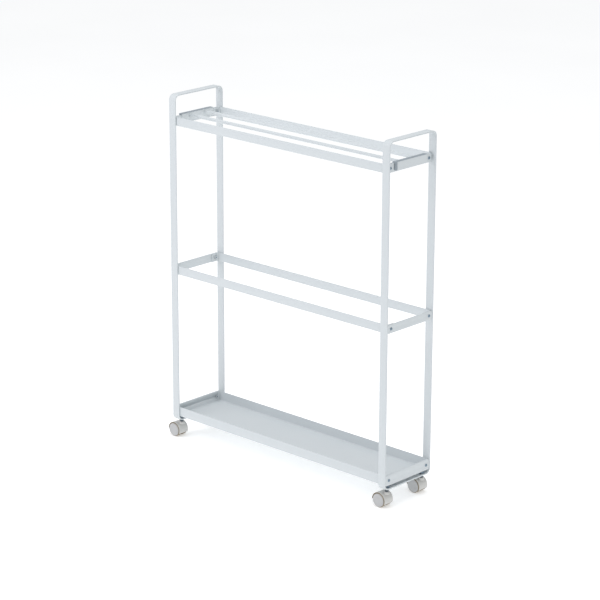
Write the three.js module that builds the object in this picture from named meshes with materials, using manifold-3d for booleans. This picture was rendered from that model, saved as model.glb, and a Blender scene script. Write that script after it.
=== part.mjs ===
// Rolling pantry cart: two bent flat-bar end frames on casters, joined by a sheet tray at the
// bottom, an open ring of strips at mid height, and a second ring at the top that carries a
// lift-off rack of two rods. Millimetres, +Z up. The origin is on the floor, in the middle of
// the area that the cart covers with its casters trailing. The +X end is the right-hand end.
import * as THREE from 'three';
import { mergeVertices } from 'three/addons/utils/BufferGeometryUtils.js';
import ManifoldModule from 'manifold-3d';

const wasm = await ManifoldModule();
wasm.setup();

// Overall size
const LENGTH = 600;
const DEPTH = 139;
const HEIGHT = 750;

// End frames: flat bar bent into a closed loop, its width along the cart
const BAR_WIDTH = 18;
const BAR_THICK = 2.5;
const CORNER_R = 12;
const FRAME_BOTTOM = 40;

// Strips of the two rings and the crossbars that they are bolted to
const STRIP_HEIGHT = 18;
const STRIP_THICK = 2;
const TAB_LENGTH = 20;
const CROSSBAR_THICK = 2.5;
const CROSSBAR_CORNER_R = 4;
const TOP_CROSSBAR_CORNER_R = 5;
const TOP_CROSSBAR_END_GAP = 1.8;
const MIDDLE_RING_TOP = 384.5;
const TOP_RING_TOP = 704;
const FLUSH_INSET = 0.8;
const TOP_INSET = 8.6;

// Tray
const TRAY_BOTTOM = 49;
const TRAY_HEIGHT = 22;
const TRAY_THICK = 1.2;

// Lift-off rack: round rods between two ends. Each end is a plastic saddle that sits over the
// top crossbar, with a painted plate on its inner and its outer side.
const ROD_R = 3.5;
const ROD_SPACING = 44;
const ROD_RISE = 0.5;
const SADDLE_WIDTH = 92;
const SADDLE_DROP = 17;
const SADDLE_TOP_THICK = 2;
const SADDLE_INNER_THICK = 0.9;
const SADDLE_PLAY = 0.3;
const OUTER_PLATE_WIDTH = 87;
const PLATE_THICK = 1.2;
const PLATE_BELOW_TOP = 0.3;
const RACK_OUTER_INSET = 2;

// Bolts
const BOLT_Y = 57;
const BOLT_HOLE_R = 1.9;
const BOLT_SHANK_R = 1.6;
const BOLT_HEAD_R = 3;
const BOLT_HEAD_HEIGHT = 1.7;
const BOLT_NUT_R = 3;
const BOLT_NUT_HEIGHT = 2.2;

// Casters
const CASTER_Y = 53;
const CASTER_TRAIL = 11;
const WHEEL_R = 15;
const WHEEL_WIDTH = 11;
const WHEEL_FACE_R = 14;
const WHEEL_SHOULDER = 1.4;
const WHEEL_BORE_R = 1.9;
const WHEEL_PLAY = 0.5;
const AXLE_R = 1.5;
const AXLE_HALF = 11.5;
const WEB_HALF = 2.5;
const HOOD_HALF = 13;
const HOOD_R = 16.6;
const HOOD_CAVITY_R = 15.6;
const HOOD_CUT_DROP = 3.4;
const HOOD_CUT_TILT = 12.4 * Math.PI / 180;
const BOSS_R = 6;
const BOSS_TOP = 33.4;
const PIN_R = 2.4;
const PIN_BOTTOM = 28.8;
const NECK_R = 3.8;
const STEM_R = 3;
const STEM_HOLE_R = 3.4;
const STEM_TOP = 46.6;
const NUT_R = 5.6;
const NUT_HEIGHT = 3;

const GAP = 0.3;
const ROUND_STEPS = 40;
const SMALL_STEPS = 20;

const POST_INNER_Y = DEPTH / 2 - BAR_THICK;
const RING_OUTER_Y = POST_INNER_Y - 0.5;
const BAR_CENTRE_X = LENGTH / 2 - BAR_WIDTH / 2;
const CASTER_REACH = BAR_CENTRE_X + CASTER_TRAIL + HOOD_R;
const BOLT_REACH = LENGTH / 2 - FLUSH_INSET + GAP + BOLT_HEAD_HEIGHT;

const paint = new THREE.MeshStandardMaterial({ color: 0xe9eef1, roughness: 0.45, metalness: 0 });
const zinc = new THREE.MeshStandardMaterial({ color: 0x9aa6ad, roughness: 0.35, metalness: 0.9 });
const darkSteel = new THREE.MeshStandardMaterial({ color: 0x4d565b, roughness: 0.4, metalness: 0.9 });
const saddlePlastic = new THREE.MeshStandardMaterial({ color: 0x8794a0, roughness: 0.5, metalness: 0 });
const hoodPlastic = new THREE.MeshStandardMaterial({ color: 0xd3d1ca, roughness: 0.4, metalness: 0 });
const wheelPlastic = new THREE.MeshStandardMaterial({ color: 0xc9cacb, roughness: 0.5, metalness: 0 });

// ---- solids --------------------------------------------------------------------------------

function solid(geometry) {
  const bare = geometry.index ? geometry.toNonIndexed() : geometry.clone();
  bare.deleteAttribute('normal');
  bare.deleteAttribute('uv');
  const merged = mergeVertices(bare, 1e-4);
  const mesh = new wasm.Mesh({
    numProp: 3,
    vertProperties: new Float32Array(merged.attributes.position.array),
    triVerts: new Uint32Array(merged.index.array),
  });
  return new wasm.Manifold(mesh);
}

function geometryOf(manifold) {
  const mesh = manifold.getMesh();
  const geometry = new THREE.BufferGeometry();
  geometry.setAttribute('position', new THREE.BufferAttribute(new Float32Array(mesh.vertProperties), 3));
  geometry.setIndex(new THREE.BufferAttribute(new Uint32Array(mesh.triVerts), 1));
  const flat = geometry.toNonIndexed();
  flat.computeVertexNormals();
  return flat;
}

function boxGeometry([x0, x1], [y0, y1], [z0, z1]) {
  const geometry = new THREE.BoxGeometry(x1 - x0, y1 - y0, z1 - z0);
  geometry.translate((x0 + x1) / 2, (y0 + y1) / 2, (z0 + z1) / 2);
  return geometry;
}

// A cylinder from one end point to the other along X, Y or Z, with a flat at its lowest point.
function cylinderGeometry(radius, axis, from, to, centre, steps = ROUND_STEPS) {
  const length = to - from;
  const geometry = new THREE.CylinderGeometry(radius, radius, length, steps);
  geometry.rotateY(Math.PI / steps);
  if (axis === 'x') {
    geometry.rotateZ(-Math.PI / 2);
    geometry.translate((from + to) / 2, centre[0], centre[1]);
  } else if (axis === 'y') {
    geometry.translate(centre[0], (from + to) / 2, centre[1]);
  } else {
    geometry.rotateX(Math.PI / 2);
    geometry.translate(centre[0], centre[1], (from + to) / 2);
  }
  return geometry;
}

function roundedRectangle(halfWidth, low, high, radius, path = new THREE.Shape()) {
  path.moveTo(-halfWidth + radius, low);
  path.lineTo(halfWidth - radius, low);
  path.absarc(halfWidth - radius, low + radius, radius, -Math.PI / 2, 0, false);
  path.lineTo(halfWidth, high - radius);
  path.absarc(halfWidth - radius, high - radius, radius, 0, Math.PI / 2, false);
  path.lineTo(-halfWidth + radius, high);
  path.absarc(-halfWidth + radius, high - radius, radius, Math.PI / 2, Math.PI, false);
  path.lineTo(-halfWidth, low + radius);
  path.absarc(-halfWidth + radius, low + radius, radius, Math.PI, Math.PI * 1.5, false);
  return path;
}

// Extrudes an outline drawn in (Y, Z) along X.
function plateAcross(shape, x0, x1, curveSegments = 6) {
  const geometry = new THREE.ExtrudeGeometry(shape, { depth: x1 - x0, bevelEnabled: false, curveSegments });
  geometry.applyMatrix4(new THREE.Matrix4().set(
    0, 0, 1, x0,
    1, 0, 0, 0,
    0, 1, 0, 0,
    0, 0, 0, 1,
  ));
  return geometry;
}

// Drills a pair of bolt holes, one near each post.
function drilled(body, z, x0, x1) {
  let result = body;
  for (const side of [-1, 1]) {
    const hole = cylinderGeometry(BOLT_HOLE_R, 'x', x0 - 1, x1 + 1, [side * BOLT_Y, z], SMALL_STEPS);
    result = result.subtract(solid(hole));
  }
  return result;
}

// ---- assembly ------------------------------------------------------------------------------

const cart = new THREE.Group();
cart.name = 'pantry_cart';
cart.position.x = (CASTER_REACH - BOLT_REACH) / 2;

function add(name, geometry, material, parent = cart) {
  const mesh = new THREE.Mesh(geometry, material.clone());
  mesh.name = name;
  parent.add(mesh);
  return mesh;
}

// Ends are built for +X; the left end is the mirror image, end = -1.
const ENDS = [['left', -1], ['right', 1]];

function spanX(end, outer, inner) {
  return end > 0 ? [inner, outer] : [-outer, -inner];
}

function endFrame(end) {
  const loop = roundedRectangle(DEPTH / 2, FRAME_BOTTOM, HEIGHT, CORNER_R);
  const inside = roundedRectangle(
    POST_INNER_Y, FRAME_BOTTOM + BAR_THICK, HEIGHT - BAR_THICK, CORNER_R - BAR_THICK, new THREE.Path(),
  );
  loop.holes.push(inside);
  const [x0, x1] = spanX(end, LENGTH / 2, LENGTH / 2 - BAR_WIDTH);
  let body = solid(plateAcross(loop, x0, x1));
  for (const side of [-1, 1]) {
    const centre = [end * BAR_CENTRE_X, side * CASTER_Y];
    const low = FRAME_BOTTOM - 1;
    const high = FRAME_BOTTOM + BAR_THICK + 1;
    body = body.subtract(solid(cylinderGeometry(STEM_HOLE_R, 'z', low, high, centre, SMALL_STEPS)));
  }
  return geometryOf(body);
}

function crossbar(end, inset, low, high, endGap, cornerR) {
  const outer = LENGTH / 2 - inset;
  const [x0, x1] = spanX(end, outer, outer - CROSSBAR_THICK);
  const outline = roundedRectangle(POST_INNER_Y - endGap, low, high, cornerR);
  return geometryOf(drilled(solid(plateAcross(outline, x0, x1, 4)), (low + high) / 2, x0, x1));
}

// Half the length of what is bolted inside a pair of crossbars.
function innerReach(inset) {
  return LENGTH / 2 - inset - CROSSBAR_THICK - GAP;
}

// A long strip with a tab turned in at each end, drawn in (X, Y) and extruded upwards.
function rail(side, inset, top) {
  const reach = innerReach(inset);
  const outerY = side * RING_OUTER_Y;
  const innerY = side * (RING_OUTER_Y - STRIP_THICK);
  const tabY = side * (RING_OUTER_Y - TAB_LENGTH);
  const outline = new THREE.Shape([
    new THREE.Vector2(-reach, outerY),
    new THREE.Vector2(reach, outerY),
    new THREE.Vector2(reach, tabY),
    new THREE.Vector2(reach - STRIP_THICK, tabY),
    new THREE.Vector2(reach - STRIP_THICK, innerY),
    new THREE.Vector2(-reach + STRIP_THICK, innerY),
    new THREE.Vector2(-reach + STRIP_THICK, tabY),
    new THREE.Vector2(-reach, tabY),
  ]);
  const geometry = new THREE.ExtrudeGeometry(outline, { depth: STRIP_HEIGHT, bevelEnabled: false });
  geometry.translate(0, 0, top - STRIP_HEIGHT);
  return geometryOf(drilled(solid(geometry), top - STRIP_HEIGHT / 2, -reach, reach));
}

function tray() {
  const reach = innerReach(FLUSH_INSET);
  const top = TRAY_BOTTOM + TRAY_HEIGHT;
  const outside = boxGeometry([-reach, reach], [-RING_OUTER_Y, RING_OUTER_Y], [TRAY_BOTTOM, top]);
  const inX = reach - TRAY_THICK;
  const inY = RING_OUTER_Y - TRAY_THICK;
  const inside = boxGeometry([-inX, inX], [-inY, inY], [TRAY_BOTTOM + TRAY_THICK, top + 1]);
  const body = solid(outside).subtract(solid(inside));
  return geometryOf(drilled(body, TRAY_BOTTOM + TRAY_HEIGHT / 2, -reach, reach));
}

// A bolt with its nut, through a crossbar and the sheet behind it. The stack is measured
// inwards from the crossbar's outer face.
function boltGeometry(stack) {
  const profile = [
    [0, BOLT_HEAD_HEIGHT + GAP],
    [BOLT_HEAD_R * 0.6, BOLT_HEAD_HEIGHT * 0.9 + GAP],
    [BOLT_HEAD_R, BOLT_HEAD_HEIGHT * 0.45 + GAP],
    [BOLT_HEAD_R, GAP],
    [BOLT_SHANK_R, GAP],
    [BOLT_SHANK_R, -stack - GAP],
    [BOLT_NUT_R, -stack - GAP],
    [BOLT_NUT_R, -stack - GAP - BOLT_NUT_HEIGHT],
    [0, -stack - GAP - BOLT_NUT_HEIGHT],
  ].reverse().map(([r, y]) => new THREE.Vector2(r, y));
  const geometry = new THREE.LatheGeometry(profile, SMALL_STEPS);
  geometry.rotateZ(-Math.PI / 2);
  return geometry;
}

function addBolts(level, inset, z, sheet) {
  for (const [endName, end] of ENDS) {
    for (const [sideName, side] of [['front', -1], ['back', 1]]) {
      const name = `bolt_${level}_${endName}_${sideName}`;
      const bolt = add(name, geometryOf(solid(boltGeometry(CROSSBAR_THICK + GAP + sheet))), zinc);
      bolt.position.set(end * (LENGTH / 2 - inset), side * BOLT_Y, z);
      if (end < 0) bolt.rotation.z = Math.PI;
    }
  }
}

const RACK_TOP = TOP_RING_TOP + SADDLE_PLAY + SADDLE_TOP_THICK;
const SADDLE_INNER_X = LENGTH / 2 - TOP_INSET - CROSSBAR_THICK - SADDLE_PLAY - SADDLE_INNER_THICK;
const SADDLE_OUTER_X = LENGTH / 2 - RACK_OUTER_INSET - PLATE_THICK - GAP;

// An upside-down channel with a slot for the crossbar.
function saddle(end) {
  const half = SADDLE_WIDTH / 2;
  const slotOuter = LENGTH / 2 - TOP_INSET + SADDLE_PLAY;
  const [x0, x1] = spanX(end, SADDLE_OUTER_X, SADDLE_INNER_X);
  const [c0, c1] = spanX(end, slotOuter, SADDLE_INNER_X + SADDLE_INNER_THICK);
  const low = RACK_TOP - SADDLE_DROP;
  const block = boxGeometry([x0, x1], [-half, half], [low, RACK_TOP]);
  const slot = boxGeometry([c0, c1], [-half - 1, half + 1], [low - 1, RACK_TOP - SADDLE_TOP_THICK]);
  return geometryOf(solid(block).subtract(solid(slot)));
}

// A painted plate whose outer face, counted from the middle of the cart, is at outerX.
function rackPlate(end, outerX, width) {
  const half = width / 2;
  const [x0, x1] = spanX(end, outerX, outerX - PLATE_THICK);
  return boxGeometry([x0, x1], [-half, half], [RACK_TOP - SADDLE_DROP, RACK_TOP - PLATE_BELOW_TOP]);
}

function rod(side) {
  const reach = SADDLE_INNER_X - GAP - PLATE_THICK - GAP;
  const z = TOP_RING_TOP + ROD_RISE - ROD_R;
  return cylinderGeometry(ROD_R, 'x', -reach, reach, [side * ROD_SPACING / 2, z], SMALL_STEPS);
}

function wheel(side) {
  const inner = WEB_HALF + WHEEL_PLAY;
  const outer = inner + WHEEL_WIDTH;
  const tread = WHEEL_R / Math.cos(Math.PI / ROUND_STEPS);
  const profile = [
    [0, outer],
    [WHEEL_FACE_R, outer],
    [tread - 0.7, outer - WHEEL_SHOULDER * 0.35],
    [tread, outer - WHEEL_SHOULDER],
    [tread, inner + 0.6],
    [tread - 0.6, inner],
    [WHEEL_BORE_R, inner],
    [WHEEL_BORE_R, AXLE_HALF + 0.5],
    [0, AXLE_HALF + 0.5],
  ].reverse().map(([r, y]) => new THREE.Vector2(r, y));
  const geometry = new THREE.LatheGeometry(profile, ROUND_STEPS);
  geometry.rotateY(Math.PI / ROUND_STEPS);
  if (side < 0) geometry.rotateX(Math.PI);
  geometry.translate(-CASTER_TRAIL, 0, WHEEL_R);
  return geometry;
}

// The hood: a fender over both wheels, a web between them and the boss that turns on the stem.
function hood() {
  const centre = [-CASTER_TRAIL, WHEEL_R];
  const drum = solid(cylinderGeometry(HOOD_R, 'y', -HOOD_HALF, HOOD_HALF, centre));
  const boss = solid(cylinderGeometry(BOSS_R, 'z', WHEEL_R, BOSS_TOP, [0, 0], SMALL_STEPS));
  let body = drum.add(boss);
  for (const side of [-1, 1]) {
    const from = side > 0 ? WEB_HALF : -HOOD_HALF - 1;
    const to = side > 0 ? HOOD_HALF + 1 : -WEB_HALF;
    body = body.subtract(solid(cylinderGeometry(HOOD_CAVITY_R, 'y', from, to, centre)));
  }
  const below = boxGeometry([-60, 60], [-60, 60], [-60, -HOOD_CUT_DROP]);
  below.rotateY(HOOD_CUT_TILT);
  below.translate(centre[0], 0, centre[1]);
  const socket = cylinderGeometry(PIN_R + GAP, 'z', PIN_BOTTOM - GAP, BOSS_TOP + 1, [0, 0], SMALL_STEPS);
  const bore = cylinderGeometry(AXLE_R + GAP, 'y', -WEB_HALF - 1, WEB_HALF + 1, centre, SMALL_STEPS);
  return body.subtract(solid(below)).subtract(solid(socket)).subtract(solid(bore));
}

function stem() {
  const neckTop = FRAME_BOTTOM - GAP;
  const profile = [
    [0, STEM_TOP],
    [STEM_R - 0.6, STEM_TOP],
    [STEM_R, STEM_TOP - 0.6],
    [STEM_R, neckTop],
    [NECK_R, neckTop],
    [NECK_R, BOSS_TOP + GAP],
    [PIN_R, BOSS_TOP + GAP],
    [PIN_R, PIN_BOTTOM],
    [0, PIN_BOTTOM],
  ].reverse().map(([r, z]) => new THREE.Vector2(r, z));
  const geometry = new THREE.LatheGeometry(profile, SMALL_STEPS);
  geometry.rotateX(Math.PI / 2);
  return geometryOf(solid(geometry));
}

function stemNut() {
  const low = FRAME_BOTTOM + BAR_THICK + GAP;
  const hexagon = cylinderGeometry(NUT_R, 'z', low, low + NUT_HEIGHT, [0, 0], 6);
  const bore = cylinderGeometry(STEM_HOLE_R, 'z', low - 1, low + NUT_HEIGHT + 1, [0, 0], SMALL_STEPS);
  return geometryOf(solid(hexagon).subtract(solid(bore)));
}

function addCaster(endName, end, sideName, side) {
  const name = `${endName}_${sideName}`;
  const caster = new THREE.Group();
  caster.position.set(end * BAR_CENTRE_X, side * CASTER_Y, 0);
  cart.add(caster);
  add(`caster_nut_${name}`, stemNut(), zinc, caster);
  add(`caster_stem_${name}`, stem(), darkSteel, caster);
  add(`caster_hood_${name}`, geometryOf(hood()), hoodPlastic, caster);
  const axle = cylinderGeometry(AXLE_R, 'y', -AXLE_HALF, AXLE_HALF, [-CASTER_TRAIL, WHEEL_R], SMALL_STEPS);
  add(`caster_axle_${name}`, axle, zinc, caster);
  add(`wheel_front_${name}`, wheel(-1), wheelPlastic, caster);
  add(`wheel_back_${name}`, wheel(1), wheelPlastic, caster);
}

// Each level's name, inset, lower and upper edge, and the thickness of the sheet that is bolted to it
const levels = [
  ['top', TOP_INSET, TOP_RING_TOP - STRIP_HEIGHT, TOP_RING_TOP, STRIP_THICK],
  ['middle', FLUSH_INSET, MIDDLE_RING_TOP - STRIP_HEIGHT, MIDDLE_RING_TOP, STRIP_THICK],
  ['bottom', FLUSH_INSET, TRAY_BOTTOM, TRAY_BOTTOM + TRAY_HEIGHT, TRAY_THICK],
];

for (const [endName, end] of ENDS) {
  add(`end_frame_${endName}`, endFrame(end), paint);
}
for (const [level, inset, low, high, sheet] of levels) {
  const [endGap, cornerR] = level === 'top'
    ? [TOP_CROSSBAR_END_GAP, TOP_CROSSBAR_CORNER_R]
    : [GAP, CROSSBAR_CORNER_R];
  for (const [endName, end] of ENDS) {
    add(`crossbar_${level}_${endName}`, crossbar(end, inset, low, high, endGap, cornerR), paint);
  }
  if (level !== 'bottom') {
    add(`rail_${level}_front`, rail(-1, inset, high), paint);
    add(`rail_${level}_back`, rail(1, inset, high), paint);
  }
  addBolts(level, inset, (low + high) / 2, sheet);
}
add('tray', tray(), paint);
for (const [endName, end] of ENDS) {
  add(`rack_saddle_${endName}`, saddle(end), saddlePlastic);
  add(`rack_plate_inner_${endName}`, rackPlate(end, SADDLE_INNER_X - GAP, SADDLE_WIDTH), paint);
  add(`rack_plate_outer_${endName}`, rackPlate(end, LENGTH / 2 - RACK_OUTER_INSET, OUTER_PLATE_WIDTH), paint);
}
add('rack_rod_front', rod(-1), paint);
add('rack_rod_back', rod(1), paint);
for (const [endName, end] of ENDS) {
  addCaster(endName, end, 'front', -1);
  addCaster(endName, end, 'back', 1);
}

export default cart;
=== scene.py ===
"""Rolling pantry cart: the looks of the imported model, built in Blender.

Everything is in metres in the frame of the CAD model. The place and the outer size of each piece
are read from the CAD model's boxes; bends, walls, holes and threads are named values below. The
cart is powder-coated flat bar and sheet; its casters are moulded plastic.
"""

import math

import bmesh
import bpy
from mathutils import Matrix, Vector


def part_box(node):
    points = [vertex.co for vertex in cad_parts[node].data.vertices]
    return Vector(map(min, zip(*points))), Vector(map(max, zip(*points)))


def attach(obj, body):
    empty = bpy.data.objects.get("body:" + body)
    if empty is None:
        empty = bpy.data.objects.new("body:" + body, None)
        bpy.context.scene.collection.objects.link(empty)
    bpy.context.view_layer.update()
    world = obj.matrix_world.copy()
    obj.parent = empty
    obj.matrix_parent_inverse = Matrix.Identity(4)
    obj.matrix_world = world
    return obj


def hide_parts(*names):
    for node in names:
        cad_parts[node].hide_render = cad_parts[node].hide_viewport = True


MM = 0.001

ENDS = (("left", -1), ("right", 1))
SIDES = (("front", -1), ("back", 1))
LEVELS = ("top", "middle", "bottom")

# Camera: a long lens nearly 5 m from the cart, at its front right, looking down; angles in degrees
CAMERA_PLACE = Vector((3.1874, -3.409, 1.823))
CAMERA_YAW = 42.956
CAMERA_PITCH = 17.465
CAMERA_ROLL = 0.18
CAMERA_LENS = 143.76

# Studio: even light all round, a paper floor that glows a little, and three soft boxes, each
# with its name, place, target, width and depth, power in watts and colour
AIR_STRENGTH = 0.62
PAPER_GLOW = 0.4
PAPER_REACH = 12
SOFT_BOXES = (
    ("overhead", (0.0, 0.0, 3.2), (0, 0, 0), (2.4, 2.4), 29, (1.0, 1.0, 1.0)),
    ("front", (-1.0, -1.9, 1.9), (0, 0, 0.5), (1.2, 1.2), 15, (1.0, 0.96, 1.0)),
    ("right", (2.5, -0.8, 2.0), (0, 0, 0.4), (1.0, 1.0), 4, (1.0, 1.0, 1.0)),
)

# The gap left between pieces that touch or slide
GAP = 0.3 * MM

# Edges: radius of the rounding on bar, sheet, the rack's plates and plastic
BAR_EDGE = 0.5 * MM
SHEET_EDGE = 0.35 * MM
CHEEK_EDGE = 0.4 * MM
PLASTIC_EDGE = 0.4 * MM

# Bends and corners
BAR_CORNER = 12 * MM
BAR_THICK = 2.5 * MM
SHEET_THICK = 2 * MM
SHEET_BEND = 3.2 * MM
CROSSBAR_CORNER = 4 * MM
TOP_CROSSBAR_CORNER = 5 * MM
TAB_LENGTH = 20 * MM
TRAY_THICK = 1.2 * MM
TRAY_BEND = 3.5 * MM
TRAY_CORNER = 3 * MM
TRAY_INNER_CORNER = 0.4 * MM

# Lift-off rack: the weld at each rod's end, and the corners of its plates and saddles
WELD_LENGTH = 1.2 * MM
WELD_RISE = 0.5 * MM
CHEEK_CORNER = 1.2 * MM
SADDLE_CORNER = 3 * MM
SADDLE_INNER_CORNER = 0.7 * MM

# Bolts
BOLT_HOLE_R = 1.9 * MM
BOLT_SHANK_R = 1.6 * MM
BOLT_PITCH = 0.7 * MM
BOLT_NUT_HEIGHT = 1.8 * MM
RECESS_WIDTH = 0.9 * MM
RECESS_LENGTH = 3.4 * MM
RECESS_DEPTH = 1 * MM

# Casters
NECK_R = 3.8 * MM
STEM_R = 3 * MM
STEM_PITCH = 1 * MM
PIN_R = 2.4 * MM
PIN_BORE_R = 2.7 * MM
HOOD_R = 16.52 * MM
HOOD_WALL = 1.05 * MM
HOOD_CUT_DROP = 3.4 * MM
HOOD_CUT_TILT = math.radians(12.4)
WEB_HALF = 2.5 * MM
AXLE_HOLE_R = 1.8 * MM
BOSS_R = 5.4 * MM
BOSS_FOOT = 12.6 * MM
STEM_HOLE_R = 3.4 * MM
DISC_R = 13.9 * MM
WHEEL_BORE_R = 1.9 * MM
WHEEL_BORE_DEPTH = 8.6 * MM

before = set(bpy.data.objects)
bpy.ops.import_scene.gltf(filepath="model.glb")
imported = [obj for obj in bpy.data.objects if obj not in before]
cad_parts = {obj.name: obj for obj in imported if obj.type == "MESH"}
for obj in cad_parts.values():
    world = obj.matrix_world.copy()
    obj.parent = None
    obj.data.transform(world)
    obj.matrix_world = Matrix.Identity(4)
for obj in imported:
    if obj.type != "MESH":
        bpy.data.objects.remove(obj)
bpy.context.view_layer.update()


# ---- materials -----------------------------------------------------------------------------


def new_material(name, colour, roughness, metallic=0.0, specular=0.5):
    material = bpy.data.materials.new(name)
    material.use_nodes = True
    shader = material.node_tree.nodes["Principled BSDF"]
    shader.inputs["Base Color"].default_value = (*colour, 1)
    shader.inputs["Roughness"].default_value = roughness
    shader.inputs["Metallic"].default_value = metallic
    shader.inputs["Specular IOR Level"].default_value = specular
    return material, material.node_tree, shader


def noise(tree, scale, detail=2.0, stretch=(1, 1, 1)):
    """Noise in object space; scale is in cells per metre."""
    nodes, links = tree.nodes, tree.links
    place = nodes.new("ShaderNodeTexCoord")
    mapping = nodes.new("ShaderNodeMapping")
    mapping.inputs["Scale"].default_value = stretch
    texture = nodes.new("ShaderNodeTexNoise")
    texture.inputs["Scale"].default_value = scale
    texture.inputs["Detail"].default_value = detail
    links.new(place.outputs["Object"], mapping.inputs["Vector"])
    links.new(mapping.outputs["Vector"], texture.inputs["Vector"])
    return texture.outputs["Fac"]


def mapped(tree, value, low, high, out_low, out_high):
    node = tree.nodes.new("ShaderNodeMapRange")
    node.inputs["From Min"].default_value = low
    node.inputs["From Max"].default_value = high
    node.inputs["To Min"].default_value = out_low
    node.inputs["To Max"].default_value = out_high
    tree.links.new(value, node.inputs["Value"])
    return node.outputs["Result"]


def mixed(tree, factor, colour_a, colour_b):
    node = tree.nodes.new("ShaderNodeMix")
    node.data_type = "RGBA"
    for socket, colour in ((node.inputs["A"], colour_a), (node.inputs["B"], colour_b)):
        if isinstance(colour, tuple):
            socket.default_value = (*colour, 1)
        else:
            tree.links.new(colour, socket)
    tree.links.new(factor, node.inputs["Factor"])
    return node.outputs["Result"]


def bumped(tree, shader, layers):
    """Stacks bumps; each layer is (height, strength, distance in metres)."""
    normal = None
    for height, strength, distance in layers:
        bump = tree.nodes.new("ShaderNodeBump")
        bump.inputs["Strength"].default_value = strength
        bump.inputs["Distance"].default_value = distance
        tree.links.new(height, bump.inputs["Height"])
        if normal is not None:
            tree.links.new(normal, bump.inputs["Normal"])
        normal = bump.outputs["Normal"]
    tree.links.new(normal, shader.inputs["Normal"])


def powder_coat():
    """Satin white powder coat: orange peel, a fine grain and a slight cloudiness of tone."""
    material, tree, shader = new_material("powder_coat", (0.64, 0.683, 0.705), 0.42)
    clouds = mapped(tree, noise(tree, 9, 3), 0.3, 0.7, 0, 1)
    colour = mixed(tree, clouds, (0.632, 0.677, 0.699), (0.65, 0.69, 0.711))
    grain = noise(tree, 2600, 1)
    speckle = mapped(tree, grain, 0.35, 0.8, 0, 0.35)
    colour = mixed(tree, speckle, colour, (0.603, 0.645, 0.666))
    tree.links.new(colour, shader.inputs["Base Color"])
    peel = noise(tree, 620, 2)
    tree.links.new(mapped(tree, peel, 0.3, 0.7, 0.38, 0.5), shader.inputs["Roughness"])
    bumped(tree, shader, [(peel, 0.35, 0.00006), (grain, 0.25, 0.00002)])
    return material


def zinc():
    """Zinc plating: a cloudy grey with fine turning lines."""
    material, tree, shader = new_material("zinc_plate", (0.26, 0.34, 0.42), 0.36, metallic=0.9)
    clouds = mapped(tree, noise(tree, 700, 3), 0.3, 0.7, 0, 1)
    colour = mixed(tree, clouds, (0.2, 0.28, 0.36), (0.32, 0.4, 0.47))
    tree.links.new(colour, shader.inputs["Base Color"])
    lines = noise(tree, 2500, 1, stretch=(0.2, 1, 1))
    tree.links.new(mapped(tree, lines, 0.3, 0.7, 0.28, 0.48), shader.inputs["Roughness"])
    bumped(tree, shader, [(lines, 0.3, 0.00002)])
    return material


def dark_steel():
    """Blackened steel with a little bare metal showing through."""
    material, tree, shader = new_material("dark_steel", (0.1, 0.115, 0.13), 0.38, metallic=0.85)
    worn = mapped(tree, noise(tree, 1500, 3), 0.55, 0.75, 0, 0.6)
    colour = mixed(tree, worn, (0.075, 0.09, 0.105), (0.3, 0.34, 0.37))
    tree.links.new(colour, shader.inputs["Base Color"])
    lines = noise(tree, 3000, 1, stretch=(1, 1, 3))
    tree.links.new(mapped(tree, lines, 0.3, 0.7, 0.3, 0.48), shader.inputs["Roughness"])
    bumped(tree, shader, [(lines, 0.3, 0.00002)])
    return material


def moulded(name, colour, shade, roughness, specular=0.5):
    """Moulded plastic: a faint flow in the colour and a spark-eroded grain."""
    material, tree, shader = new_material(name, colour, roughness, specular=specular)
    flow = mapped(tree, noise(tree, 90, 3, stretch=(1, 0.4, 1)), 0.3, 0.7, 0, 1)
    tree.links.new(mixed(tree, flow, colour, shade), shader.inputs["Base Color"])
    grain = noise(tree, 3200, 2)
    rough = mapped(tree, grain, 0.3, 0.7, roughness - 0.05, roughness + 0.07)
    tree.links.new(rough, shader.inputs["Roughness"])
    bumped(tree, shader, [(grain, 0.3, 0.00003), (noise(tree, 240, 2), 0.15, 0.00006)])
    return material


PAINT = powder_coat()
ZINC = zinc()
DARK_STEEL = dark_steel()
SADDLE = moulded("saddle_nylon", (0.33, 0.375, 0.415), (0.36, 0.405, 0.445), 0.5)
HOOD = moulded("hood_plastic", (0.59, 0.59, 0.572), (0.62, 0.615, 0.592), 0.3)
WHEEL = moulded("wheel_plastic", (0.48, 0.485, 0.49), (0.51, 0.515, 0.52), 0.42)
# Painted shade: the tread's brown shows as a thin ring round each disc and stands in for the shade in
# the gap between wheel and hood
TREAD_PAINTED_SHADE = moulded("wheel_tread_painted_shade", (0.26, 0.22, 0.15), (0.3, 0.25, 0.17), 0.55)
# Painted shade: a dark brown for the hood's inside, rims and web, standing in for the shade in the
# gap between wheel and hood
HOOD_PAINTED_SHADE = moulded("hood_painted_shade", (0.27, 0.22, 0.145), (0.3, 0.245, 0.165), 0.6)


# ---- mesh building -------------------------------------------------------------------------


def arc(centre, radius, start, end, steps):
    """Points of an arc in a plane; angles in degrees."""
    points = []
    for i in range(steps + 1):
        angle = math.radians(start + (end - start) * i / steps)
        points.append((centre[0] + radius * math.cos(angle), centre[1] + radius * math.sin(angle)))
    return points


def rounded_rectangle(u0, u1, v0, v1, radius, steps=8, left=None):
    """left is the radius of the two corners at u0, where they differ from the rest."""
    left = radius if left is None else left
    points = []
    points += arc((u1 - radius, v0 + radius), radius, -90, 0, steps)
    points += arc((u1 - radius, v1 - radius), radius, 0, 90, steps)
    points += arc((u0 + left, v1 - left), left, 90, 180, steps)
    points += arc((u0 + left, v0 + left), left, 180, 270, steps)
    return points


def circle(centre, radius, steps=24):
    return arc(centre, radius, 0, 360 - 360 / steps, steps - 1)


def quarter(steps, downwards=False):
    """Angles of a quarter turn in radians, rising or falling."""
    angles = [math.pi / 2 * i / steps for i in range(steps + 1)]
    return angles[::-1] if downwards else angles


def half_turn(steps):
    return [math.pi * i / steps for i in range(steps + 1)]


def centre_of(node):
    low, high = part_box(node)
    return (low + high) / 2


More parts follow.
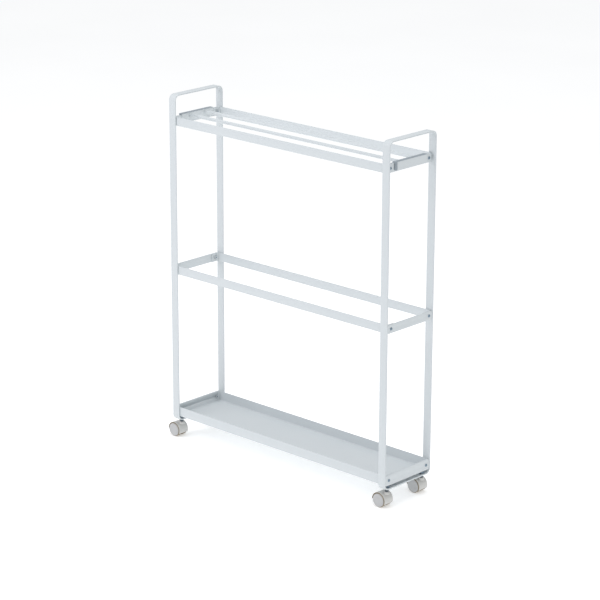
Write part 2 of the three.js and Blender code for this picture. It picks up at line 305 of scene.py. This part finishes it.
def bridge(bm, rings):
    """Faces between each ring of vertices and the next one."""
    for a, b in zip(rings, rings[1:]):
        for i in range(len(a)):
            j = (i + 1) % len(a)
            bm.faces.new((a[i], a[j], b[j], b[i]))


def finish_mesh(bm, name, material, smooth_angle=35):
    bmesh.ops.remove_doubles(bm, verts=bm.verts, dist=1e-7)
    bmesh.ops.recalc_face_normals(bm, faces=bm.faces)
    mesh = bpy.data.meshes.new(name)
    bm.to_mesh(mesh)
    bm.free()
    for polygon in mesh.polygons:
        polygon.use_smooth = True
    mesh.set_sharp_from_angle(angle=math.radians(smooth_angle))
    mesh.materials.append(material)
    piece = bpy.data.objects.new(name, mesh)
    bpy.context.scene.collection.objects.link(piece)
    return piece


# Matrices that carry an outline's (u, v) and its thickness into the cart's frame
ACROSS_X = Matrix(((0, 0, 1), (1, 0, 0), (0, 1, 0)))
ACROSS_Y = Matrix(((1, 0, 0), (0, 0, 1), (0, 1, 0)))
ACROSS_Z = Matrix.Identity(3)


def plate(name, loops, low, high, turn, edge, material, steps=3):
    """A plate with rounded edges: loops are its outline and its holes, low and high its faces."""
    curve = bpy.data.curves.new(name, "CURVE")
    curve.dimensions = "2D"
    curve.fill_mode = "BOTH"
    curve.extrude = (high - low) / 2 - edge
    curve.bevel_depth = edge
    curve.bevel_resolution = steps - 1
    curve.offset = -edge
    for loop in loops:
        spline = curve.splines.new("POLY")
        spline.points.add(len(loop) - 1)
        for point, (u, v) in zip(spline.points, loop):
            point.co = (u, v, 0, 1)
        spline.use_cyclic_u = True
    source = bpy.data.objects.new(name + "_outline", curve)
    bpy.context.scene.collection.objects.link(source)
    bpy.context.view_layer.update()
    evaluated = source.evaluated_get(bpy.context.evaluated_depsgraph_get())
    flat = bpy.data.meshes.new_from_object(evaluated)
    bpy.data.objects.remove(source)
    bpy.data.curves.remove(curve)
    bm = bmesh.new()
    bm.from_mesh(flat)
    bpy.data.meshes.remove(flat)
    middle = (low + high) / 2
    bmesh.ops.transform(bm, matrix=Matrix.Translation((0, 0, middle)), verts=bm.verts)
    bmesh.ops.transform(bm, matrix=turn.to_4x4(), verts=bm.verts)
    return finish_mesh(bm, name, material)


def lathe(name, profile, place, axis, material, steps=48):
    """Turns a profile of (radius, distance along the axis); a radius of nought is one vertex."""
    bm = bmesh.new()
    turn = Vector(axis).to_track_quat("Z", "Y").to_matrix().to_4x4()
    rings = []
    for radius, along in profile:
        if radius < 1e-7:
            rings.append([bm.verts.new((0, 0, along))])
            continue
        ring = []
        for i in range(steps):
            angle = 2 * math.pi * i / steps
            ring.append(bm.verts.new((radius * math.cos(angle), radius * math.sin(angle), along)))
        rings.append(ring)
    for a, b in zip(rings, rings[1:]):
        for i in range(steps):
            j = (i + 1) % steps
            corners = [a[i % len(a)], a[j % len(a)], b[j % len(b)], b[i % len(b)]]
            face = []
            for vertex in corners:
                if vertex not in face:
                    face.append(vertex)
            if len(face) > 2:
                bm.faces.new(face)
    bmesh.ops.transform(bm, matrix=Matrix.Translation(place) @ turn, verts=bm.verts)
    return finish_mesh(bm, name, material)


def cut(piece, cutter):
    """Takes the cutter's shape out of the piece, and removes the cutter."""
    modifier = piece.modifiers.new("cut", "BOOLEAN")
    modifier.object = cutter
    modifier.operation = "DIFFERENCE"
    modifier.solver = "EXACT"
    bpy.context.view_layer.update()
    evaluated = piece.evaluated_get(bpy.context.evaluated_depsgraph_get())
    result = bpy.data.meshes.new_from_object(evaluated)
    piece.modifiers.clear()
    piece.data = result
    bpy.data.objects.remove(cutter)


def box_piece(name, low, high, material):
    bm = bmesh.new()
    bmesh.ops.create_cube(bm, size=1)
    size = Vector(high) - Vector(low)
    middle = (Vector(high) + Vector(low)) / 2
    placed = Matrix.Translation(middle) @ Matrix.Diagonal((*size, 1))
    bmesh.ops.transform(bm, matrix=placed, verts=bm.verts)
    return finish_mesh(bm, name, material)


def join(name, parts):
    """One piece from several meshes, keeping their materials."""
    target = parts[0]
    with bpy.context.temp_override(active_object=target, selected_editable_objects=parts):
        bpy.ops.object.join()
    target.name = name
    return target


def place_piece(piece, body, slot, *nodes):
    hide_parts(*nodes)
    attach(piece, body)


# ---- the frame -----------------------------------------------------------------------------


def build_end_frame(end_name):
    node = f"end_frame_{end_name}"
    low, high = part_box(node)
    outer = rounded_rectangle(low.y, high.y, low.z, high.z, BAR_CORNER, 10)
    t = BAR_THICK
    inner = rounded_rectangle(low.y + t, high.y - t, low.z + t, high.z - t, BAR_CORNER - t, 10)
    piece = plate(f"loop_{end_name}", [outer, inner], low.x, high.x, ACROSS_X, BAR_EDGE, PAINT)
    bottom, top = low.z - t, low.z + 2 * t
    profile = [(0, bottom), (STEM_HOLE_R, bottom), (STEM_HOLE_R, top), (0, top)]
    for side_name, _ in SIDES:
        spot = centre_of(f"caster_stem_{end_name}_{side_name}")
        cut(piece, lathe("drill", profile, (spot.x, spot.y, 0), (0, 0, 1), PAINT, 32))
    place_piece(piece, "cart", "white_paint", node)


def bolt_places(level, end_name):
    """The two bolts' centres on a crossbar, as (y, z)."""
    spots = []
    for side_name, _ in SIDES:
        spot = centre_of(f"bolt_{level}_{end_name}_{side_name}")
        spots.append((spot.y, spot.z))
    return spots


def build_crossbar(level, end_name):
    node = f"crossbar_{level}_{end_name}"
    low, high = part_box(node)
    corner = TOP_CROSSBAR_CORNER if level == "top" else CROSSBAR_CORNER
    outline = rounded_rectangle(low.y, high.y, low.z, high.z, corner, 6)
    holes = [circle(spot, BOLT_HOLE_R) for spot in bolt_places(level, end_name)]
    loops = [outline, *holes]
    piece = plate(f"bar_{level}_{end_name}", loops, low.x, high.x, ACROSS_X, BAR_EDGE, PAINT)
    place_piece(piece, "cart", "white_paint", node)


def rail_outline(low, high, side):
    """A strip with its ends bent in, seen from above: its outer line, and its inner line back."""
    outer_y = low.y if side < 0 else high.y
    outline = []
    for radius, steps, first in ((SHEET_BEND, 6, -1), (SHEET_BEND - SHEET_THICK, 4, 1)):
        for sign in (first, -first):
            x_end = high.x if sign > 0 else low.x
            corner = [(x_end - sign * (SHEET_BEND - radius), TAB_LENGTH)]
            for angle in quarter(steps):
                x = x_end - sign * (SHEET_BEND - radius * math.cos(angle))
                corner.append((x, SHEET_BEND - radius * math.sin(angle)))
            outline += corner if sign == first else corner[::-1]
    return [(x, outer_y - side * inset) for x, inset in outline]


def build_rail(level, side_name, side):
    node = f"rail_{level}_{side_name}"
    low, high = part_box(node)
    outline = rail_outline(low, high, side)
    piece = plate(f"strip_{level}_{side_name}", [outline], low.z, high.z, ACROSS_Z, SHEET_EDGE, PAINT)
    for end_name, _ in ENDS:
        for y, z in bolt_places(level, end_name):
            if y * side > 0:
                drill_along_x(piece, low.x - MM, high.x + MM, y, z)
    place_piece(piece, "cart", "white_paint", node)


def drill_along_x(piece, x0, x1, y, z):
    profile = [(0, x0), (BOLT_HOLE_R, x0), (BOLT_HOLE_R, x1), (0, x1)]
    cut(piece, lathe("drill", profile, (0, y, z), (1, 0, 0), PAINT, 24))


def tray_ring(bm, half_x, half_y, centre, z, radius, steps=6):
    outline = rounded_rectangle(-half_x, half_x, -half_y, half_y, radius, steps)
    return [bm.verts.new((centre.x + x, centre.y + y, z)) for x, y in outline]


def build_tray():
    """A pressed sheet tray: its wall profile is carried round a rounded rectangle."""
    low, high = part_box("tray")
    centre = (low + high) / 2
    half_x, half_y = (high.x - low.x) / 2, (high.y - low.y) / 2
    t, bend = TRAY_THICK, TRAY_BEND
    profile = []
    for angle in quarter(8, downwards=True):
        profile.append((bend * (1 - math.cos(angle)), low.z + bend * (1 - math.sin(angle))))
    for angle in half_turn(8):
        profile.append((t / 2 * (1 - math.cos(angle)), high.z - t / 2 * (1 - math.sin(angle))))
    inner_bend = bend - t
    for angle in quarter(8):
        inset = bend - inner_bend * math.cos(angle)
        profile.append((inset, low.z + bend - inner_bend * math.sin(angle)))
    bm = bmesh.new()
    rings = []
    for inset, z in profile:
        radius = max(TRAY_CORNER - inset, TRAY_INNER_CORNER)
        rings.append(tray_ring(bm, half_x - inset, half_y - inset, centre, z, radius))
    bridge(bm, rings)
    bm.faces.new(rings[0])
    bm.faces.new(rings[-1])
    piece = finish_mesh(bm, "tray_sheet", PAINT)
    for y, z in bolt_places("bottom", "left"):
        drill_along_x(piece, low.x - MM, high.x + MM, y, z)
    place_piece(piece, "cart", "white_paint", "tray")


# ---- the lift-off rack ---------------------------------------------------------------------


def build_rack():
    for side_name, _ in SIDES:
        build_rod(side_name)
    for end_name, end in ENDS:
        for layer in ("inner", "outer"):
            node = f"rack_plate_{layer}_{end_name}"
            low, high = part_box(node)
            loops = [rounded_rectangle(low.y, high.y, low.z, high.z, CHEEK_CORNER, 4)]
            name = f"cheek_{layer}_{end_name}"
            piece = plate(name, loops, low.x, high.x, ACROSS_X, CHEEK_EDGE, PAINT)
            place_piece(piece, "rack", "white_paint", node)
        build_saddle(end_name, end)


def build_rod(side_name):
    """A round rod with a small fillet of weld at each end."""
    node = f"rack_rod_{side_name}"
    low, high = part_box(node)
    centre = (low + high) / 2
    radius = (high.z - low.z) / 2
    length = high.x - low.x
    shoulder_r, shoulder = radius + 0.9 * WELD_RISE, WELD_LENGTH / 3
    profile = [(0, 0), (radius + WELD_RISE, 0), (shoulder_r, shoulder), (radius, WELD_LENGTH)]
    profile += [(radius, length - WELD_LENGTH), (shoulder_r, length - shoulder)]
    profile += [(radius + WELD_RISE, length), (0, length)]
    piece = lathe(f"rod_{side_name}", profile, (low.x, centre.y, centre.z), (1, 0, 0), PAINT, 40)
    place_piece(piece, "rack", "white_paint", node)


def build_saddle(end_name, end):
    """The moulded channel that sits over the crossbar: a rounded block less a slot."""
    node = f"rack_saddle_{end_name}"
    low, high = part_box(node)
    bar_low, bar_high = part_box(f"crossbar_top_{end_name}")
    corners = (SADDLE_INNER_CORNER, SADDLE_CORNER)
    left, right = corners if end > 0 else corners[::-1]
    outline = rounded_rectangle(low.x, high.x, low.y, high.y, right, left=left)
    piece = plate(f"saddle_{end_name}", [outline], low.z, high.z, ACROSS_Z, BAR_EDGE, SADDLE)
    slot_low = (bar_low.x - GAP, low.y - MM, low.z - MM)
    slot_high = (bar_high.x + GAP, high.y + MM, bar_high.z + GAP)
    cut(piece, box_piece("slot", slot_low, slot_high, SADDLE))
    place_piece(piece, "rack", "saddle_plastic", node)


# ---- bolts ---------------------------------------------------------------------------------


def build_bolt(level, end_name, end, side_name):
    """A pan-head bolt with a cross recess; its painted weld nut is on the inner side."""
    node = f"bolt_{level}_{end_name}_{side_name}"
    low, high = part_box(node)
    centre = (low + high) / 2
    radius = (high.z - low.z) / 2
    outer, inner = (high.x, low.x) if end > 0 else (low.x, high.x)
    length = abs(outer - inner)
    crossbar_low, crossbar_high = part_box(f"crossbar_{level}_{end_name}")
    face = crossbar_high.x if end > 0 else crossbar_low.x
    head = abs(outer - face) - 0.1 * MM
    under_head = length - head
    profile = []
    for angle in quarter(8):
        profile.append((radius * math.sin(angle), length - head * 0.75 * (1 - math.cos(angle))))
    profile += [(radius, under_head), (BOLT_SHANK_R, under_head)]
    along = under_head - 0.3 * MM
    while along > BOLT_PITCH:
        profile += [(BOLT_SHANK_R, along), (BOLT_SHANK_R - 0.25 * MM, along - BOLT_PITCH / 2)]
        along -= BOLT_PITCH
    profile += [(BOLT_SHANK_R - 0.3 * MM, 0), (0, 0)]
    piece = lathe("bolt_body", profile, (inner, centre.y, centre.z), (end, 0, 0), ZINC, 40)
    for turned in (False, True):
        cut(piece, recess_bar(outer, end, centre, turned))
    nut_place = Vector((inner + end * 0.4 * MM, centre.y, centre.z))
    nut = hexagon_nut(radius, BOLT_SHANK_R, BOLT_NUT_HEIGHT, nut_place, (end, 0, 0), PAINT)
    piece = join(f"screw_{level}_{end_name}_{side_name}", [piece, nut])
    place_piece(piece, "cart", "zinc_steel", node)


def recess_bar(outer, end, centre, turned):
    """One bar of the cross that is sunk into a bolt's head."""
    half = (RECESS_LENGTH / 2, RECESS_WIDTH / 2)
    u, v = half if turned else half[::-1]
    x0, x1 = sorted((outer + end * MM, outer - end * RECESS_DEPTH))
    outline = rounded_rectangle(centre.y - u, centre.y + u, centre.z - v, centre.z + v, 0.3 * MM, 3)
    bm = bmesh.new()
    rings = [[bm.verts.new((x, y, z)) for y, z in outline] for x in (x0, x1)]
    bridge(bm, rings)
    bm.faces.new(rings[0])
    bm.faces.new(rings[1])
    return finish_mesh(bm, "recess", ZINC)


def hexagon_nut(radius, bore, height, place, axis, material):
    """A hexagon nut with chamfered corners; radius is over its corners."""
    flat = radius * math.cos(math.pi / 6)
    steps = 48
    bm = bmesh.new()
    turn = Vector(axis).to_track_quat("Z", "Y").to_matrix().to_4x4()
    rings = []
    chamfer = (radius - flat) * 0.8
    for along, limit in ((0, flat), (chamfer, radius), (height - chamfer, radius), (height, flat)):
        ring = []
        for i in range(steps):
            angle = 2 * math.pi * i / steps
            to_flat = flat / math.cos((angle + math.pi / 6) % (math.pi / 3) - math.pi / 6)
            reach = min(to_flat, limit)
            ring.append(bm.verts.new((reach * math.cos(angle), reach * math.sin(angle), along)))
        rings.append(ring)
    for along in (height, 0):
        ring = []
        for i in range(steps):
            angle = 2 * math.pi * i / steps
            ring.append(bm.verts.new((bore * math.cos(angle), bore * math.sin(angle), along)))
        rings.append(ring)
    bridge(bm, [*rings, rings[0]])
    bmesh.ops.transform(bm, matrix=Matrix.Translation(place) @ turn, verts=bm.verts)
    return finish_mesh(bm, "nut", material, 30)


# ---- casters -------------------------------------------------------------------------------


def build_stem(name):
    """A threaded stem with a thicker neck under the bottom bar and a thin pin below the neck."""
    node = f"caster_stem_{name}"
    low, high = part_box(node)
    centre = (low + high) / 2
    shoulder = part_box("end_frame_left")[0].z - GAP
    neck_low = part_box(f"caster_hood_{name}")[1].z + GAP
    edge = 0.3 * MM
    profile = [(0, low.z), (PIN_R - edge, low.z), (PIN_R, low.z + edge), (PIN_R, neck_low)]
    profile += [(NECK_R - edge, neck_low), (NECK_R, neck_low + edge)]
    profile += [(NECK_R, shoulder - edge), (NECK_R - edge, shoulder), (STEM_R, shoulder)]
    along = shoulder + 3 * MM
    while along < high.z - STEM_PITCH:
        profile += [(STEM_R - 0.35 * MM, along), (STEM_R, along + STEM_PITCH / 2)]
        along += STEM_PITCH
    profile += [(STEM_R - 0.5 * MM, high.z), (0, high.z)]
    piece = lathe(f"stem_{name}", profile, (centre.x, centre.y, 0), (0, 0, 1), DARK_STEEL)
    place_piece(piece, "cart", "dark_steel", node)


def build_stem_nut(name):
    node = f"caster_nut_{name}"
    low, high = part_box(node)
    centre = (low + high) / 2
    radius = (high.x - low.x) / 2
    place = Vector((centre.x, centre.y, low.z))
    piece = hexagon_nut(radius, STEM_R + 0.1 * MM, high.z - low.z, place, (0, 0, 1), ZINC)
    piece.name = f"stem_nut_{name}"
    place_piece(piece, "cart", "zinc_steel", node)


def build_hood(name):
    """Fender, web and boss, moulded in one; outlines are drawn in (X, Z)."""
    node = f"caster_hood_{name}"
    low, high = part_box(node)
    axle = centre_of(f"caster_axle_{name}")
    stem = centre_of(f"caster_stem_{name}")
    centre = (axle.x, axle.z)
    inner_r = HOOD_R - HOOD_WALL
    ends = []
    for radius in (HOOD_R, inner_r):
        lean = math.degrees(math.asin(HOOD_CUT_DROP / radius))
        tilt = math.degrees(HOOD_CUT_TILT)
        ends.append((-lean - tilt, 180 + lean - tilt))
    fender = arc(centre, HOOD_R, *ends[0], 40) + arc(centre, inner_r, *ends[1], 40)[::-1]
    parts = [plate("fender", [fender], low.y, high.y, ACROSS_Y, PLASTIC_EDGE, HOOD)]
    web = arc(centre, inner_r + 0.4 * MM, *ends[0], 40)
    bore = circle(centre, AXLE_HOLE_R, 32)
    web_low, web_high = axle.y - WEB_HALF, axle.y + WEB_HALF
    parts.append(plate("web", [web, bore], web_low, web_high, ACROSS_Y, PLASTIC_EDGE, HOOD))
    foot = axle.z + BOSS_FOOT
    profile = [(PIN_BORE_R, foot), (BOSS_R, foot), (BOSS_R, high.z - 1.8 * MM)]
    profile += [(BOSS_R * 0.92, high.z - 0.9 * MM), (BOSS_R * 0.75, high.z - 0.2 * MM)]
    profile += [(BOSS_R * 0.6, high.z), (PIN_BORE_R, high.z), (PIN_BORE_R, foot)]
    parts.append(lathe("boss", profile, (stem.x, stem.y, 0), (0, 0, 1), HOOD))
    piece = join(f"hood_{name}", parts)
    # painted shade on the hood's inside, its rims and the web
    paint_hood_shade(piece, centre, inner_r)
    place_piece(piece, f"caster_{name}", "hood_plastic", node)


def paint_hood_shade(piece, centre, radius):
    """Paints shade on the fender's inside, its rims and the web: a dark brown that stands in for the
    shade in the gap between wheel and hood; radius is the inside's.
    """
    piece.data.materials.append(HOOD_PAINTED_SHADE)
    for polygon in piece.data.polygons:
        away = math.hypot(polygon.center.x - centre[0], polygon.center.z - centre[1])
        on_rim = abs(polygon.normal.y) > 0.6 and away < radius + HOOD_WALL
        if on_rim or away < radius + 0.1 * MM:
            polygon.material_index = 1


def build_axle(name):
    node = f"caster_axle_{name}"
    low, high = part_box(node)
    centre = (low + high) / 2
    radius = (high.z - low.z) / 2
    length = high.y - low.y
    profile = [(0, 0), (radius - 0.3 * MM, 0), (radius, 0.3 * MM)]
    profile += [(radius, length - 0.3 * MM), (radius - 0.3 * MM, length), (0, length)]
    piece = lathe(f"axle_{name}", profile, (centre.x, low.y, centre.z), (0, 1, 0), ZINC, 32)
    place_piece(piece, f"caster_{name}", "zinc_steel", node)


def build_wheel(layer, outward, name):
    """A slightly domed disc on a solid tread with a blind bore for the axle."""
    node = f"wheel_{layer}_{name}"
    low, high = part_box(node)
    centre = (low + high) / 2
    radius = (high.z - low.z) / 2
    width = high.y - low.y
    inner_face = high.y if outward < 0 else low.y
    rim = width - 1.5 * MM
    tread = [
        (radius - 0.3 * MM, rim),
        (radius, rim - 0.4 * MM),
        (radius, 1.2 * MM),
        (radius - 0.3 * MM, 0.5 * MM),
        (radius - 1.2 * MM, 0),
        (WHEEL_BORE_R, 0),
        (WHEEL_BORE_R, WHEEL_BORE_DEPTH),
        (0, WHEEL_BORE_DEPTH),
    ]
    disc = [
        (0, width),
        (DISC_R * 0.55, width - 0.03 * MM),
        (DISC_R * 0.85, width - 0.15 * MM),
        (DISC_R - 0.5 * MM, width - 0.3 * MM),
        (DISC_R - 0.12 * MM, width - 0.5 * MM),
        (DISC_R, width - 0.9 * MM),
        (DISC_R, rim - 0.3 * MM),
        (0, rim - 0.3 * MM),
    ]
    place = (centre.x, inner_face, centre.z)
    axis = (0, outward, 0)
    # the tread's brown ring round the disc is painted shade
    body = lathe("tread", [(0, rim), *tread], place, axis, TREAD_PAINTED_SHADE, 64)
    face = lathe("disc", disc, place, axis, WHEEL, 64)
    piece = join(f"disc_wheel_{layer}_{name}", [face, body])
    place_piece(piece, f"wheel_{layer}_{name}", "wheel_plastic", node)


# ---- studio --------------------------------------------------------------------------------


def build_floor():
    """A wide sheet of white paper at the height that the cart stands on."""
    bm = bmesh.new()
    bmesh.ops.create_grid(bm, x_segments=1, y_segments=1, size=PAPER_REACH)
    floor = finish_mesh(bm, "studio_floor", studio_material())


def studio_material():
    material, tree, shader = new_material("studio_paper", (0.87, 0.87, 0.87), 0.9, specular=0.0)
    tone = mapped(tree, noise(tree, 2, 2), 0.3, 0.7, 0, 1)
    colour = mixed(tree, tone, (0.86, 0.86, 0.86), (0.88, 0.88, 0.88))
    tree.links.new(colour, shader.inputs["Base Color"])
    shader.inputs["Emission Color"].default_value = (1, 1, 1, 1)
    shader.inputs["Emission Strength"].default_value = PAPER_GLOW
    return material


def area_light(name, place, target, size, power, colour):
    light = bpy.data.lights.new(name, "AREA")
    light.shape = "RECTANGLE"
    light.size, light.size_y = size
    light.energy = power
    light.color = colour
    lamp = bpy.data.objects.new(name, light)
    lamp.location = place
    lamp.rotation_mode = "QUATERNION"
    lamp.rotation_quaternion = (Vector(target) - Vector(place)).to_track_quat("-Z", "Y")
    bpy.context.scene.collection.objects.link(lamp)


def build_studio():
    build_floor()
    world = bpy.data.worlds.new("studio_air")
    world.use_nodes = True
    background = world.node_tree.nodes["Background"]
    background.inputs["Color"].default_value = (0.97, 0.985, 1.0, 1)
    background.inputs["Strength"].default_value = AIR_STRENGTH
    bpy.context.scene.world = world
    for soft_box in SOFT_BOXES:
        area_light(*soft_box)
    scene = bpy.context.scene
    scene.view_settings.view_transform = "Standard"
    scene.view_settings.look = "None"


def build_camera():
    data = bpy.data.cameras.new("camera")
    data.sensor_width = 36
    data.lens = CAMERA_LENS
    camera = bpy.data.objects.new("camera", data)
    yaw, pitch = math.radians(CAMERA_YAW), math.radians(CAMERA_PITCH)
    camera.rotation_mode = "XYZ"
    turn = Matrix.Rotation(yaw, 4, "Z") @ Matrix.Rotation(math.pi / 2 - pitch, 4, "X")
    turn = turn @ Matrix.Rotation(math.radians(CAMERA_ROLL), 4, "Z")
    camera.matrix_world = Matrix.Translation(CAMERA_PLACE) @ turn
    bpy.context.scene.collection.objects.link(camera)
    bpy.context.scene.camera = camera


# ---- assembly ------------------------------------------------------------------------------

build_camera()
build_studio()
for end_name, end in ENDS:
    build_end_frame(end_name)
    for level in LEVELS:
        build_crossbar(level, end_name)
        for side_name, _ in SIDES:
            build_bolt(level, end_name, end, side_name)
    for side_name, _ in SIDES:
        caster = f"{end_name}_{side_name}"
        build_stem(caster)
        build_stem_nut(caster)
        build_hood(caster)
        build_axle(caster)
        build_wheel("front", -1, caster)
        build_wheel("back", 1, caster)
for side_name, side in SIDES:
    for level in ("top", "middle"):
        build_rail(level, side_name, side)
build_tray()
build_rack()
